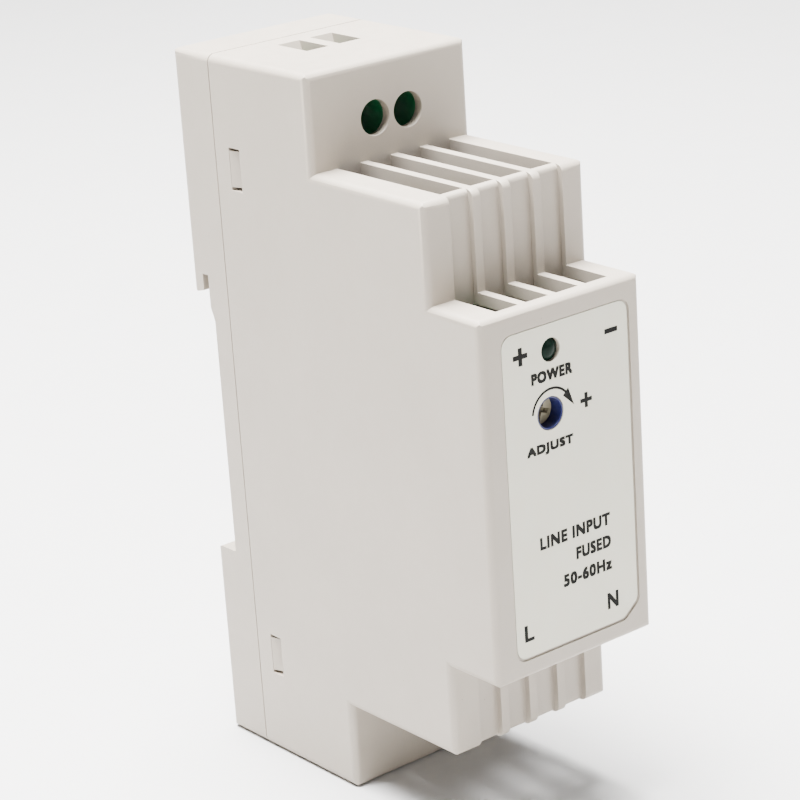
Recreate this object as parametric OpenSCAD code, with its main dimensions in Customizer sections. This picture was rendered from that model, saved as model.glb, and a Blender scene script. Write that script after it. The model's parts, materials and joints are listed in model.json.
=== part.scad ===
// Slim DIN rail power supply: stepped two-part case, rail latch, screw terminals,
// circuit boards and the parts on them.
// Frame: X is the width, +Z is up, the front faces -Y. The origin lies in the plane in which
// the rail's lips sit, midway across the width and midway between the rail's two edges.

/* [Case] */
// Width of the case
case_w = 25; // [24:0.5:27]
// Height of the case
case_h = 93; // [92:0.5:96]
// Depth from the rear face to the front face
case_d = 56; // [55:0.5:60]
// Depth of the terminal sections at the top and bottom
terminal_d = 26.8; // [26:0.2:28]
// Depth of the ribbed sections between the terminals and the front face
middle_d = 47.2; // [46:0.2:48]
// Height of the upper terminal section, above its ledge
upper_step_1 = 12.1; // [11.6:0.1:12.6]
// Height from the top down to the upper edge of the front face
upper_step_2 = 24.4; // [24:0.1:25]
// Height of the lower terminal section, below its ledge
lower_step_1 = 11.4; // [11:0.1:12]
// Height from the bottom up to the lower edge of the front face
lower_step_2 = 23.2; // [22.8:0.1:24]
// Thickness of the side, top and front walls
wall = 1.6; // [1.4:0.1:1.8]
// Thickness of the wall in front of the terminal screws
terminal_wall = 1.3; // [1.1:0.1:1.5]
// Radius of the outer edges
edge_r = 1; // [0.6:0.1:1.2]
// Distance from the rear face to the line where cover and base meet
seam_d = 7.5; // [7:0.1:8]
// Width of the line where cover and base meet
seam_gap = 0.12; // [0.08:0.02:0.2]

/* [Vents] */
// Number of slots side by side
slot_count = 4; // [4]
// Width of each slot
slot_w = 3.45; // [3.2:0.05:3.6]
// Distance from one slot to the next
slot_pitch = 4.65; // [4.5:0.05:4.7]
// Sideways offset of the group of slots
slot_x = 0.3; // [0:0.05:0.4]
// Depth of the panels between the ribs
panel_recess = 0.75; // [0.5:0.05:0.9]
// Thickness of the ledge beside the terminals
ledge_1_wall = 2; // [1.8:0.1:2.2]
// Thickness of the ledge beside the front face
ledge_2_wall = 1.5; // [1.3:0.1:1.7]

/* [Rail] */
// Height of the rail across its two lips
rail_h = 35; // [35]
// Depth of the gap that holds a lip
lip_gap = 1.15; // [1.1:0.05:1.3]
// Distance from the rear face to the plane of the rail's lips
seat_d = 3.5; // [3.3:0.1:3.8]
// Travel of the latch
latch_travel = 3.5; // [3:0.1:3.6]

/* [Terminals] */
// Distance between the two poles of a terminal block
pole_pitch = 5.08; // [5.08]
// Sideways offset of the terminal blocks
terminal_x = 0.3; // [-0.5:0.1:0.5]
// Height of the terminal screws above the middle of the case
screw_z = 39.4; // [39:0.1:39.8]
// Radius of the screw access holes
access_r = 2.2; // [2.1:0.05:2.25]
// Pitch of the screw thread
thread_pitch = 0.5; // [0.5]
// Turns from open to closed
screw_turns = 3.5; // [3:0.5:3.5]

/* [Front] */
// Width of the front label
label_w = 19.6; // [18:0.1:20]
// Height of the front label
label_h = 40.1; // [38:0.1:41]
// Sideways offset of the front label
label_x = 0.45; // [0:0.05:0.6]
// Radius of the indicator's window
led_hole_r = 1.45; // [1.4:0.05:1.5]
// Radius of the trimmer's access hole
trimmer_hole_r = 2.05; // [1.9:0.05:2.2]

/* [Hidden] */
$fn = 48;
big = 100;

// Main planes of the case
rear_y = seat_d;
front_y = rear_y - case_d;
middle_y = rear_y - middle_d;
terminal_y = rear_y - terminal_d;
seam_y = rear_y - seam_d;
top_z = case_h / 2;
bottom_z = -case_h / 2;
side_x = case_w / 2;
inner_x = side_x - wall;
inner_top = top_z - wall;

// Screw terminals
cage_w = 4.2;
cage_depth = 5.5;
cage_h = 4.8;
cage_wall = 0.6;
cage_front = 1.2;
cage_travel = thread_pitch * screw_turns;
cage_y = -13.9;
screw_r = 1.44;
head_r = 1.85;
head_h = 1.6;
head_y = cage_y - cage_travel - 0.6;
neck = 0.5;
block_w = 2 * pole_pitch + 0.24;
block_front = terminal_y + terminal_wall + 0.1;
block_inner_z = 35;
block_outer_z = inner_top - 0.3;
well_r = 2.25;
cage_gap = 0.15;

// Boards
board_t = 1.6;
board_y = -7.2;
board_w = 20.8;
board_h = 88;
control_x = -7;
control_t = 1.2;

// Front openings
led_x = -1.9;
led_z = 16.25;
trimmer_x = -2.35;
trimmer_z = 8.6;
label_z = -0.6;
label_t = 0.2;
label_recess = 0.25;
label_border = 0.22;
label_slack = 0.12;

// Wire entries in the ends of the case
entry_w = 3.4;
entry_rear = -6.9;
entry_front = -12.95;
entry_slope = 0.85;

// Snap tabs and the windows that they fill
snap_z0 = 29.9;
snap_z1 = 35.3;
snap_rear = -6.9;
snap_front = -9.05;
snap_gap = 0.2;
snap_ramp = 0.6;

// Hook, recess and latch
hook_tip = 14.8;
lip_top = rail_h / 2 + 0.1;
recess_y = -0.7;
lower_block_top = -20;
latch_w = 12;
latch_web_w = 8.4;
// Pulled down by its travel, the latch clears the rail's lower edge by this much
latch_clear = 2;
latch_top = -rail_h / 2 + latch_travel - latch_clear;
latch_bottom = -43.2;
latch_y0 = -0.15;
latch_y1 = 1.75;
latch_y2 = 3.2;
guide_gap = 0.2;
pocket_z1 = -27.4;
post_z0 = -38.1;
post_z1 = -35.9;
pocket_z0 = post_z0 - 0.3;
pocket_w = 3.4;
spring_y = 0.95;

case_color = [0.84, 0.82, 0.79];
label_color = [0.83, 0.83, 0.79];
pcb_green = [0.10, 0.34, 0.20];
terminal_green = [0.07, 0.36, 0.20];
steel = [0.72, 0.73, 0.74];
brass = [0.80, 0.66, 0.33];
tin = [0.78, 0.78, 0.78];
copper = [0.72, 0.42, 0.22];
ferrite = [0.20, 0.20, 0.21];
epoxy_black = [0.08, 0.08, 0.09];
aluminium = [0.80, 0.81, 0.82];

// ---- Shapes used by several parts ----

function unit(v) = v / norm(v);

// The points of one rounded corner c between the corners p and n; each is [a, b, radius]
function corner(p, c, n, steps = 6) =
    c[2] < 0.02 ? [[c[0], c[1]]] :
    let (
        here = [c[0], c[1]],
        u = unit([p[0], p[1]] - here),
        v = unit([n[0], n[1]] - here),
        opening = acos(u * v),
        middle = here + unit(u + v) * c[2] / sin(opening / 2),
        start = here + u * c[2] / tan(opening / 2) - middle,
        turn = (u[0] * v[1] - u[1] * v[0]) > 0 ? -1 : 1,
        first = atan2(start[1], start[0])
    )
    [for (i = [0:steps]) middle + c[2] *
        [cos(first + turn * (180 - opening) * i / steps), sin(first + turn * (180 - opening) * i / steps)]];

function rounded(pts) = let (n = len(pts))
    [for (i = [0:n - 1]) each corner(pts[(i + n - 1) % n], pts[i], pts[(i + 1) % n])];

function rounded_rect(a0, a1, b0, b1, r) =
    rounded([[a0, b0, r], [a1, b0, r], [a1, b1, r], [a0, b1, r]]);

// A box between two corners
module block(low, high) {
    translate(low) cube(high - low);
}

// A (y, z) outline carried along X
module along_x(x0, x1) {
    translate([x0, 0, 0]) rotate([90, 0, 90]) linear_extrude(x1 - x0) children();
}

// An (x, z) outline carried along Y
module along_y(y0, y1) {
    translate([0, y1, 0]) rotate([90, 0, 0]) linear_extrude(y1 - y0) children();
}

// A cylinder along Y
module rod_y(x, z, y0, y1, r) {
    translate([x, y0, z]) rotate([-90, 0, 0]) cylinder(h = y1 - y0, r = r);
}

// A cylinder along Z
module rod_z(x, y, z0, z1, r) {
    translate([x, y, z0]) cylinder(h = z1 - z0, r = r);
}

// A box of the case's width whose edges are all rounded
module soft_box(y0, y1, z0, z1) {
    intersection() {
        along_x(-side_x, side_x) polygon(rounded_rect(y0, y1, z0, z1, edge_r));
        along_y(y0, y1) polygon(rounded_rect(-side_x, side_x, z0, z1, edge_r));
        translate([0, 0, z0]) linear_extrude(z1 - z0)
            polygon(rounded_rect(-side_x, side_x, y0, y1, edge_r));
    }
}

// Both ends of the case: the upper one as drawn and the lower one mirrored
module both_ends() {
    children();
    mirror([0, 0, 1]) children();
}

module both_sides() {
    children();
    mirror([1, 0, 0]) children();
}

module at_poles() {
    for (side = [-1, 1])
        translate([terminal_x + side * pole_pitch / 2, 0, 0]) children();
}

// ---- Case ----

// Everything removed for one group of vents, between the heights of its two ledges
module vents(ledge_1, ledge_2) {
    bar = panel_recess + 0.8;
    panel_y = middle_y + panel_recess;
    front_bar = 1.8;
    for (i = [0:slot_count - 1]) {
        x0 = slot_x + (i - (slot_count - 1) / 2) * slot_pitch - slot_w / 2;
        x1 = x0 + slot_w;
        block([x0, middle_y + bar + 0.1, ledge_1 - ledge_1_wall - 0.1], [x1, terminal_y, ledge_1 + 1]);
        // The panel behind the front plane, with its upper edge rounded over
        along_x(x0, x1) polygon([
            [middle_y - 1, ledge_2 - ledge_2_wall - 0.1],
            [panel_y, ledge_2 - ledge_2_wall - 0.1],
            [panel_y, ledge_1 - 0.8],
            [panel_y + 0.12, ledge_1 - 0.35],
            [panel_y + 0.35, ledge_1 - 0.12],
            [middle_y + bar, ledge_1],
            [middle_y + bar, ledge_1 + 1],
            [middle_y - 1, ledge_1 + 1]]);
        block([x0, front_y + front_bar, ledge_2 - ledge_2_wall - 0.1], [x1, panel_y, ledge_2 + 1]);
    }
}

// Opening for the wire of one pole, with a sloping rear wall
module wire_entry() {
    along_x(-entry_w / 2, entry_w / 2) polygon([
        [entry_front, inner_top - 0.1], [entry_rear - entry_slope, inner_top - 0.1],
        [entry_rear, top_z + 0.1], [entry_front, top_z + 0.1]]);
}

module snap_window() {
    block([inner_x - 0.5, snap_front, snap_z0], [side_x + 1, snap_rear, snap_z1]);
}

module cover_shell() {
    difference() {
        union() {
            soft_box(terminal_y, rear_y, bottom_z, top_z);
            soft_box(middle_y, rear_y - 1, bottom_z + lower_step_1, top_z - upper_step_1);
            soft_box(front_y, rear_y - 1, bottom_z + lower_step_2, top_z - upper_step_2);
        }
        block([-big, seam_y - seam_gap / 2, -big], [big, big, big]);
        block([-inner_x, terminal_y + terminal_wall, -inner_top], [inner_x, 0, inner_top]);
        block([-inner_x, middle_y + 2, bottom_z + lower_step_1 + ledge_1_wall],
            [inner_x, 0, top_z - upper_step_1 - ledge_1_wall]);
        block([-inner_x, front_y + wall, bottom_z + lower_step_2 + ledge_2_wall],
            [inner_x, 0, top_z - upper_step_2 - ledge_2_wall]);
    }
}

module label_outline(grow) {
    x0 = label_x - label_w / 2 - grow;
    x1 = label_x + label_w / 2 + grow;
    z0 = label_z - label_h / 2 - grow;
    z1 = label_z + label_h / 2 + grow;
    polygon(rounded([[x0, z0, 1.5], [x1 - 2.4, z0, 1.2], [x1, z0 + 1.9, 1.2],
        [x1, z1, 1.5], [x0, z1, 1.5]]));
}

module front_cover() {
    color(case_color) difference() {
        cover_shell();
        vents(top_z - upper_step_1, top_z - upper_step_2);
        mirror([0, 0, 1]) vents(-(bottom_z + lower_step_1), -(bottom_z + lower_step_2));
        both_ends() at_poles() {
            rod_y(0, screw_z, terminal_y - 1, terminal_y + terminal_wall + 1, access_r);
            wire_entry();
        }
        both_ends() both_sides() snap_window();
        translate([label_slack, 0, -label_slack])
            along_y(front_y - 1, front_y + label_recess) label_outline(label_border);
        rod_y(led_x, led_z, front_y - 1, front_y + wall + 1, led_hole_r);
        rod_y(trimmer_x, trimmer_z, front_y - 1, front_y + wall + 1, trimmer_hole_r);
    }
}

// Side outline of the base: hook above the rail, flat recess behind it, block below it
module base_outline() {
    polygon(rounded([
        [seam_y + seam_gap / 2, top_z, 0], [rear_y, top_z, edge_r], [rear_y, hook_tip, 0.9],
        [lip_gap, hook_tip + 0.6, 0.2], [lip_gap, lip_top, 0], [0, lip_top, 0], [0, 13.4, 0.3],
        [recess_y, 11.6, 0.3], [recess_y, lower_block_top, 0.3], [rear_y, lower_block_top, 1.3],
        [rear_y, bottom_z, edge_r], [seam_y + seam_gap / 2, bottom_z, 0]]));
}

module base_body() {
    intersection() {
        along_x(-side_x, side_x) base_outline();
        along_y(seam_y, rear_y) polygon(rounded_rect(-side_x, side_x, bottom_z, top_z, edge_r));
        translate([0, 0, bottom_z]) linear_extrude(case_h)
            polygon(rounded_rect(-side_x, side_x, seam_y - 5, rear_y, edge_r));
    }
}

// Springy arm whose ramped tab fills the window: flush at the rear, set back at the front
module snap_arm() {
    z0 = snap_z0 + 2 * snap_gap;
    z1 = snap_z1 - 2 * snap_gap;
    front = snap_front + snap_gap;
    block([inner_x - 1.5, front, z0], [inner_x - 0.12, seam_y + 0.5, z1]);
    translate([0, 0, z0]) linear_extrude(z1 - z0) polygon([
        [inner_x - 0.5, front], [side_x - snap_ramp, front],
        [side_x - 0.04, snap_rear - 0.05], [inner_x - 0.5, snap_rear - 0.05]]);
}

// Ring that locates the cover on the base
module locating_lip() {
    difference() {
        block([-inner_x + 0.12, -5.45, -inner_top + 0.12], [inner_x - 0.12, seam_y + 0.5, inner_top - 0.12]);
        block([-inner_x + 1.2, -6, -inner_top + 1.2], [inner_x - 1.2, seam_y + 1, inner_top - 1.2]);
    }
}

module latch_guide() {
    block([-latch_w / 2 - guide_gap, latch_y0 - 0.15, bottom_z - 1],
        [latch_w / 2 + guide_gap, latch_y1 + 0.15, lower_block_top + 1]);
    block([-latch_web_w / 2 - guide_gap, latch_y1, bottom_z - 1],
        [latch_web_w / 2 + guide_gap, rear_y + 1, lower_block_top + 1]);
}

board_post_z = [22.9, -20.5];

module rear_base() {
    color(case_color) {
        difference() {
            union() {
                difference() {
                    base_body();
                    block([-inner_x, -6, lip_top + 1.6], [inner_x, rear_y - wall, inner_top]);
                    block([-inner_x, -6, lower_block_top + 1], [inner_x, recess_y - wall, lip_top + 0.6]);
                    block([-inner_x, -6, -inner_top],
                        [inner_x, latch_y0 - 0.15 - wall, lower_block_top - wall]);
                    both_sides() block([latch_w / 2 + guide_gap + wall, -6, -inner_top],
                        [inner_x, rear_y - wall, lower_block_top - wall]);
                }
                locating_lip();
                both_ends() both_sides() snap_arm();
                for (z = board_post_z) rod_y(0, z, board_y + board_t, seam_y + 3, 2.2);
                block([-5, recess_y - 0.5, lower_block_top - 0.5], [5, 0, -14.5]);
            }
            latch_guide();
            for (z = board_post_z) rod_y(0, z, board_y, -2.6, 0.9);
        }
        // Stop for the latch spring
        block([-pocket_w / 2 + 0.4, latch_y0 - 0.5, post_z0], [pocket_w / 2 - 0.4, 1.9, post_z1]);
    }
}

module front_label() {
    color(label_color) difference() {
        along_y(front_y + label_recess - label_t, front_y + label_recess) label_outline(0);
        rod_y(led_x, led_z, front_y - 1, front_y + 1, led_hole_r);
        rod_y(trimmer_x, trimmer_z, front_y - 1, front_y + 1, trimmer_hole_r);
    }
}

// ---- Rail latch ----

module rail_latch() {
    color([0.80, 0.79, 0.76]) difference() {
        union() {
            block([-latch_w / 2, latch_y0, latch_bottom], [latch_w / 2, latch_y1, lower_block_top - 0.6]);
            block([-latch_web_w / 2, latch_y1 - 0.5, latch_bottom],
                [latch_web_w / 2, latch_y2, lower_block_top - 0.6]);
            along_x(-latch_web_w / 2, latch_web_w / 2) polygon([
                [lip_gap, lower_block_top - 1], [latch_y2, lower_block_top - 1],
                [latch_y2, latch_top - 1.8], [latch_y2 - 0.5, latch_top - 1.5],
                [lip_gap + 0.3, latch_top], [lip_gap, latch_top]]);
        }
        block([-pocket_w / 2, latch_y0 - 1, pocket_z0], [pocket_w / 2, 2.2, pocket_z1]);
        block([-2.6, 0.6, -42], [2.6, big, -39.8]);
        for (z = [-36, -34.6, -33.2]) block([-3, latch_y2 - 0.3, z - 0.35], [3, big, z + 0.35]);
    }
}

spring_coil_r = 0.95;
spring_wire_r = 0.2;
spring_turns = 6;
spring_rings = 96;
spring_sides = 8;

// A point on the surface of the spring wire: t runs along the wire, s around it
function spring_point(t, s) = let (
        a = 360 * spring_turns * t,
        r = spring_coil_r + spring_wire_r * cos(s),
        z0 = post_z1 + spring_wire_r + 0.02,
        z1 = pocket_z1 - spring_wire_r - 0.02
    )
    [r * cos(a), spring_y + r * sin(a), z0 + (z1 - z0) * t + spring_wire_r * sin(s)];

module latch_spring() {
    points = [for (i = [0:spring_rings]) for (j = [0:spring_sides - 1])
        spring_point(i / spring_rings, 360 * j / spring_sides)];
    last = spring_rings * spring_sides;
    color(steel) polyhedron(points, concat(
        [[for (j = [0:spring_sides - 1]) j]],
        [for (i = [0:spring_rings - 1]) for (j = [0:spring_sides - 1]) let (k = (j + 1) % spring_sides)
            [i * spring_sides + j, (i + 1) * spring_sides + j,
             (i + 1) * spring_sides + k, i * spring_sides + k]],
        [[for (j = [0:spring_sides - 1]) last + spring_sides - 1 - j]]));
}

// ---- Boards ----

contact_w = 2.6;
contact_t = 0.6;
contact_y = -12.4;
contact_z = 35.3;
pin_w = 1;

module main_pcb() {
    color(pcb_green) difference() {
        block([-board_w / 2, board_y, -board_h / 2], [board_w / 2, board_y + board_t, board_h / 2]);
        both_ends() both_sides() block([9.1, -10, snap_z0 - 0.4], [big, 0, snap_z1 + 0.4]);
        both_ends() at_poles()
            block([-pin_w / 2 - 0.1, -10, contact_z - 0.1],
                [pin_w / 2 + 0.1, 0, contact_z + contact_t + 0.1]);
        for (z = board_post_z) rod_y(0, z, -10, 0, 1.2);
    }
}

module insulating_sheet() {
    floor_y = recess_y - wall;
    color([0.93, 0.92, 0.85]) block([-10.4, floor_y - 0.3, -18.1], [10.4, floor_y, 17.4]);
}

module board_screws() {
    color(steel) for (z = board_post_z) {
        difference() {
            rod_y(0, z, board_y - 1.3, board_y, 1.9);
            block([-1.2, board_y - 2, z - 0.22], [1.2, board_y - 0.6, z + 0.22]);
            block([-0.22, board_y - 2, z - 1.2], [0.22, board_y - 0.6, z + 1.2]);
        }
        rod_y(0, z, board_y - 0.1, -2.8, 0.88);
    }
}

// ---- Screw terminals, drawn for the upper end ----

module terminal_block() {
    difference() {
        block([terminal_x - block_w / 2, block_front, block_inner_z],
            [terminal_x + block_w / 2, board_y, block_outer_z]);
        at_poles() {
            rod_y(0, screw_z, block_front - 1, head_y, well_r);
            rod_y(0, screw_z, head_y - 1, head_y + neck + 1, screw_r + 0.12);
            block([-cage_w / 2 - cage_gap, head_y + neck, screw_z - cage_h / 2 - cage_gap],
                [cage_w / 2 + cage_gap, cage_y + cage_depth + 0.3, screw_z + cage_h / 2 + cage_gap]);
            block([-1.6, contact_y, screw_z], [1.6, cage_y + cage_depth - cage_wall, block_outer_z + 1]);
            block([-contact_w / 2 - 0.05, contact_y - 0.05, contact_z - 0.05],
                [contact_w / 2 + 0.05, contact_y + contact_t + 0.05, screw_z]);
            block([-pin_w / 2 - 0.05, contact_y, contact_z - 0.05],
                [pin_w / 2 + 0.05, board_y + 1, contact_z + contact_t + 0.05]);
        }
    }
}

module output_terminal_block() {
    color(terminal_green) terminal_block();
}

module input_terminal_block() {
    color(terminal_green) mirror([0, 0, 1]) terminal_block();
}

module contacts() {
    at_poles() {
        block([-contact_w / 2, contact_y, contact_z], [contact_w / 2, contact_y + contact_t, screw_z + 2.3]);
        block([-pin_w / 2, contact_y, contact_z], [pin_w / 2, -4.6, contact_z + contact_t]);
    }
}

module output_contacts() {
    color(tin) contacts();
}

module input_contacts() {
    color(tin) mirror([0, 0, 1]) contacts();
}

// Slotted screw: its head bears on the block, its tip on the contact
module terminal_screw() {
    color(steel) difference() {
        union() {
            rod_y(0, screw_z, head_y - head_h, head_y, head_r);
            rod_y(0, screw_z, head_y - 0.1, contact_y - 0.1, screw_r);
        }
        block([-0.3, head_y - head_h - 1, screw_z - 3], [0.3, head_y - head_h + 0.7, screw_z + 3]);
    }
}

// Square cage that the screw draws forward, with the wire inside it
module clamp() {
    color(brass) difference() {
        block([-cage_w / 2, cage_y, screw_z - cage_h / 2],
            [cage_w / 2, cage_y + cage_depth, screw_z + cage_h / 2]);
        block([-cage_w / 2 + cage_wall, cage_y + cage_front, screw_z - 5],
            [cage_w / 2 - cage_wall, cage_y + cage_depth - cage_wall, screw_z + 5]);
        rod_y(0, screw_z, cage_y - 1, cage_y + cage_front + 1, screw_r + 0.06);
    }
}

module pole(side, end) {
    translate([terminal_x + side * pole_pitch / 2, 0, 0])
        if (end > 0) children();
        else mirror([0, 0, 1]) children();
}

module screw_positive() { pole(-1, 1) terminal_screw(); }
module screw_negative() { pole(1, 1) terminal_screw(); }
module screw_line() { pole(-1, -1) terminal_screw(); }
module screw_neutral() { pole(1, -1) terminal_screw(); }
module clamp_positive() { pole(-1, 1) clamp(); }
module clamp_negative() { pole(1, 1) clamp(); }
module clamp_line() { pole(-1, -1) clamp(); }
module clamp_neutral() { pole(1, -1) clamp(); }

// ---- Transformer: an upright pair of E cores with a wound bobbin on the middle leg ----

transformer_x = 2.6;
transformer_z = 6.4;
core_half_w = 7.9;
core_half_t = 2.4;
core_y0 = -23.4;
core_y1 = -9.1;
yoke = 2.1;
leg = 2;
barrel_w = 2.75;
barrel_t = 3.15;

module at_transformer() {
    translate([transformer_x, 0, transformer_z]) children();
}

module transformer_core() {
    color(ferrite) at_transformer() difference() {
        block([-core_half_w, core_y0, -core_half_t], [core_half_w, core_y1, core_half_t]);
        both_sides() block([leg, core_y0 + yoke, -5], [core_half_w - leg, core_y1 - yoke, 5]);
        // Thin gap line where the two halves meet
        for (s = [-1, 1]) block([s * core_half_w - 0.1, -16.3, -5], [s * core_half_w + 0.1, -16.2, 5]);
    }
}

module transformer_bobbin() {
    y0 = core_y0 + yoke + 0.05;
    y1 = core_y1 - yoke - 0.05;
    color([0.13, 0.12, 0.12]) at_transformer() {
        difference() {
            union() {
                block([-5.8, y0, -6.4], [5.8, y0 + 0.9, 6.4]);
                block([-5.8, y1 - 0.9, -6.4], [5.8, y1, 6.4]);
                block([-barrel_w, y0, -barrel_t], [barrel_w, y1, barrel_t]);
            }
            block([-leg - 0.05, y0 - 1, -core_half_t - 0.05], [leg + 0.05, y1 + 1, core_half_t + 0.05]);
        }
        // Pin rails that stand on the board, one each side of the core
        both_ends() block([-6.5, y1 - 0.5, core_half_t + 0.1], [6.5, board_y, 6.9]);
    }
}

module transformer_winding() {
    color([0.87, 0.72, 0.20]) at_transformer() difference() {
        along_y(core_y0 + yoke + 1, core_y1 - yoke - 1) polygon(rounded_rect(-5.6, 5.6, -6.2, 6.2, 1.4));
        block([-barrel_w, -30, -barrel_t], [barrel_w, 0, barrel_t]);
    }
}

// ---- Capacitors ----

// Electrolytic can standing on the board: bare aluminium end with a rolled groove
module can(x, z, r, length) {
    y1 = board_y - 0.2;
    rod_y(x, z, y1 - length, y1, r - 0.15);
}

module sleeve(x, z, r, length) {
    y1 = board_y - 0.2;
    difference() {
        rod_y(x, z, y1 - length + 0.15, y1 - 0.1, r);
        rod_y(x, z, y1 - length - 1, y1 + 1, r - 0.15);
    }
}

input_cap = [2.4, -12.7, 6.2, 25];
output_caps = [[-5.2, 28.4, 4, 20], [4.9, 28.4, 4, 20]];

module input_capacitor() {
    color(aluminium) can(input_cap[0], input_cap[1], input_cap[2], input_cap[3]);
}

module input_capacitor_sleeve() {
    color([0.10, 0.11, 0.16]) sleeve(input_cap[0], input_cap[1], input_cap[2], input_cap[3]);
}

module output_capacitors() {
    color(aluminium) for (c = output_caps) can(c[0], c[1], c[2], c[3]);
}

module output_capacitor_sleeves() {
    color([0.12, 0.16, 0.24]) for (c = output_caps) sleeve(c[0], c[1], c[2], c[3]);
}

module film_capacitor() {
    color([0.90, 0.78, 0.20]) along_y(-19, board_y) polygon(rounded_rect(-9.2, -4.2, -34, -22.6, 0.4));
}

module safety_capacitor() {
    color([0.15, 0.35, 0.70]) {
        rod_z(3, -12.6, 14.1, 16.3, 3.8);
        for (x = [0.6, 5.4]) rod_y(x, 15.2, -9.7, board_y, 0.3);
    }
}

// ---- Input filter and protection ----

choke_x = 4.6;
choke_y = -14.6;
choke_z = -24.4;

module choke_core() {
    color([0.25, 0.42, 0.30]) translate([choke_x, choke_y, choke_z]) rotate_extrude()
        translate([2.6, -1.7]) square([2.2, 3.4]);
}

module choke_windings() {
    color(copper) translate([choke_x, choke_y, choke_z]) difference() {
        for (a = [20, 200]) rotate([0, 0, a]) rotate_extrude(angle = 140)
            translate([2, -2.3]) square([3.4, 4.6]);
        rotate_extrude() translate([2.6, -1.7]) square([2.2, 3.4]);
    }
}

fuse_y = -10.2;
fuse_z = -30.9;

module mains_fuse() {
    color([0.85, 0.84, 0.78]) translate([-2.4, fuse_y, fuse_z]) rotate([0, 90, 0]) cylinder(h = 9, r = 1.7);
}

module fuse_caps() {
    color(tin) for (x = [-3.4, 6.6]) {
        translate([x, fuse_y, fuse_z]) rotate([0, 90, 0]) cylinder(h = 1, r = 1.9);
        rod_y(x + 0.5, fuse_z, fuse_y, board_y, 0.3);
    }
}

module thermistor() {
    color([0.16, 0.30, 0.20]) {
        rod_z(6.2, -13, -21.4, -19.3, 3.6);
        for (x = [4, 8.4]) rod_y(x, -20.35, -10.4, board_y, 0.3);
    }
}

module bridge_rectifier() {
    color(epoxy_black) block([-10.2, -11, -21.9], [-4.2, board_y, -13.4]);
}

// ---- Power semiconductors, each bolted to its own heat sink ----

// A three-leg package: x0 is its left side, z0 the back of its metal tab
module power_package(x0, z0) {
    color(epoxy_black) block([x0, -21, z0 + 0.2], [x0 + 10, -12, z0 + 4.3]);
    color(tin) difference() {
        block([x0, -27.5, z0], [x0 + 10, -21, z0 + 1.3]);
        rod_z(x0 + 5, -24.4, z0 - 1, z0 + 3, 1.8);
    }
    color(tin) for (i = [-1, 0, 1])
        block([x0 + 4.6 + 2.54 * i, -12, z0 + 2], [x0 + 5.4 + 2.54 * i, board_y, z0 + 2.5]);
}

module heat_sink(x0, x1, y0, z0, screw_x) {
    color(aluminium) difference() {
        block([x0, y0, z0], [x1, -8, z0 + 1.1]);
        rod_z(screw_x, -24.4, z0 - 1, z0 + 3, 1.5);
    }
}

switch_x = -1.6;
switch_z = -5.15;
diode_x = -1.4;
diode_z = 18.35;

module switching_transistor() { power_package(switch_x, switch_z); }
module switch_heat_sink() { heat_sink(-4.8, 10.4, -36, switch_z - 1.1, switch_x + 5); }
module output_diode() { power_package(diode_x, diode_z); }
module diode_heat_sink() { heat_sink(-4.8, 10.4, -34, diode_z - 1.1, diode_x + 5); }

module heat_sink_screws() {
    color(steel) for (s = [[switch_x + 5, switch_z], [diode_x + 5, diode_z]]) {
        difference() {
            rod_z(s[0], -24.4, s[1] + 1.3, s[1] + 3.3, 2.7);
            block([s[0] - 1.7, -24.7, s[1] + 2.3], [s[0] + 1.7, -24.1, s[1] + 5]);
            block([s[0] - 0.3, -26.1, s[1] + 2.3], [s[0] + 0.3, -22.7, s[1] + 5]);
        }
        rod_z(s[0], -24.4, s[1] - 1.1, s[1] + 1.4, 1.45);
    }
}

inductor_x = -7.6;
inductor_z = 21.7;

module output_inductor() {
    color(ferrite) {
        rod_y(inductor_x, inductor_z, -16, -15, 2.5);
        rod_y(inductor_x, inductor_z, -15.1, -8.3, 1.2);
        rod_y(inductor_x, inductor_z, -8.4, board_y, 2.5);
    }
}

module inductor_winding() {
    color(copper) difference() {
        rod_y(inductor_x, inductor_z, -14.9, -8.5, 2.2);
        rod_y(inductor_x, inductor_z, -16, -8, 1.25);
    }
}

// ---- Control board, on edge beside the transformer, with the parts seen from the front ----

module control_pcb() {
    color(pcb_green) block([control_x, -48.6, -11.5], [control_x + control_t, board_y - 0.6, 18.2]);
}

module control_header() {
    color(epoxy_black) block([control_x - 2.5, board_y - 2.5, -6], [control_x, board_y, 14.3]);
}

module pwm_controller() {
    color(epoxy_black) block([control_x - 1.6, -22, 2], [control_x - 0.15, -18, 7]);
    color(tin) for (i = [0:3]) for (y = [-23, -18])
        block([control_x - 0.4, y, 2.4 + 1.27 * i], [control_x, y + 1, 2.8 + 1.27 * i]);
}

module optocoupler() {
    color([0.12, 0.12, 0.13]) block([control_x - 3.4, -33, -3], [control_x - 0.5, -26.5, 1.6]);
    color(tin) for (z = [-2.2, 0.3]) for (y = [-33.4, -26.5])
        block([control_x - 2, y, z], [control_x, y + 0.4, z + 0.6]);
}

led_r = 1.4;
led_dome_r = 2.4;
led_flange_r = 1.75;
led_front = front_y + 0.1;
led_rear = -45.9;

// Lens with a shallow dome that stands just inside its window
module indicator_led() {
    color([0.10, 0.28, 0.18]) {
        intersection() {
            rod_y(led_x, led_z, led_front, led_rear, led_r);
            union() {
                translate([led_x, led_front + led_dome_r, led_z]) sphere(r = led_dome_r);
                rod_y(led_x, led_z, led_front + led_dome_r, led_rear, led_dome_r);
            }
        }
        rod_y(led_x, led_z, led_rear - 1, led_rear, led_flange_r);
    }
}

module led_leads() {
    color(tin) for (z = [-1.27, 1.27] / 2) {
        block([led_x - 0.25, led_rear, led_z + z - 0.25], [led_x + 0.25, -43.5, led_z + z + 0.25]);
        block([control_x + control_t, -43.5, led_z + z - 0.25], [led_x + 0.25, -43, led_z + z + 0.25]);
    }
}

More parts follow.
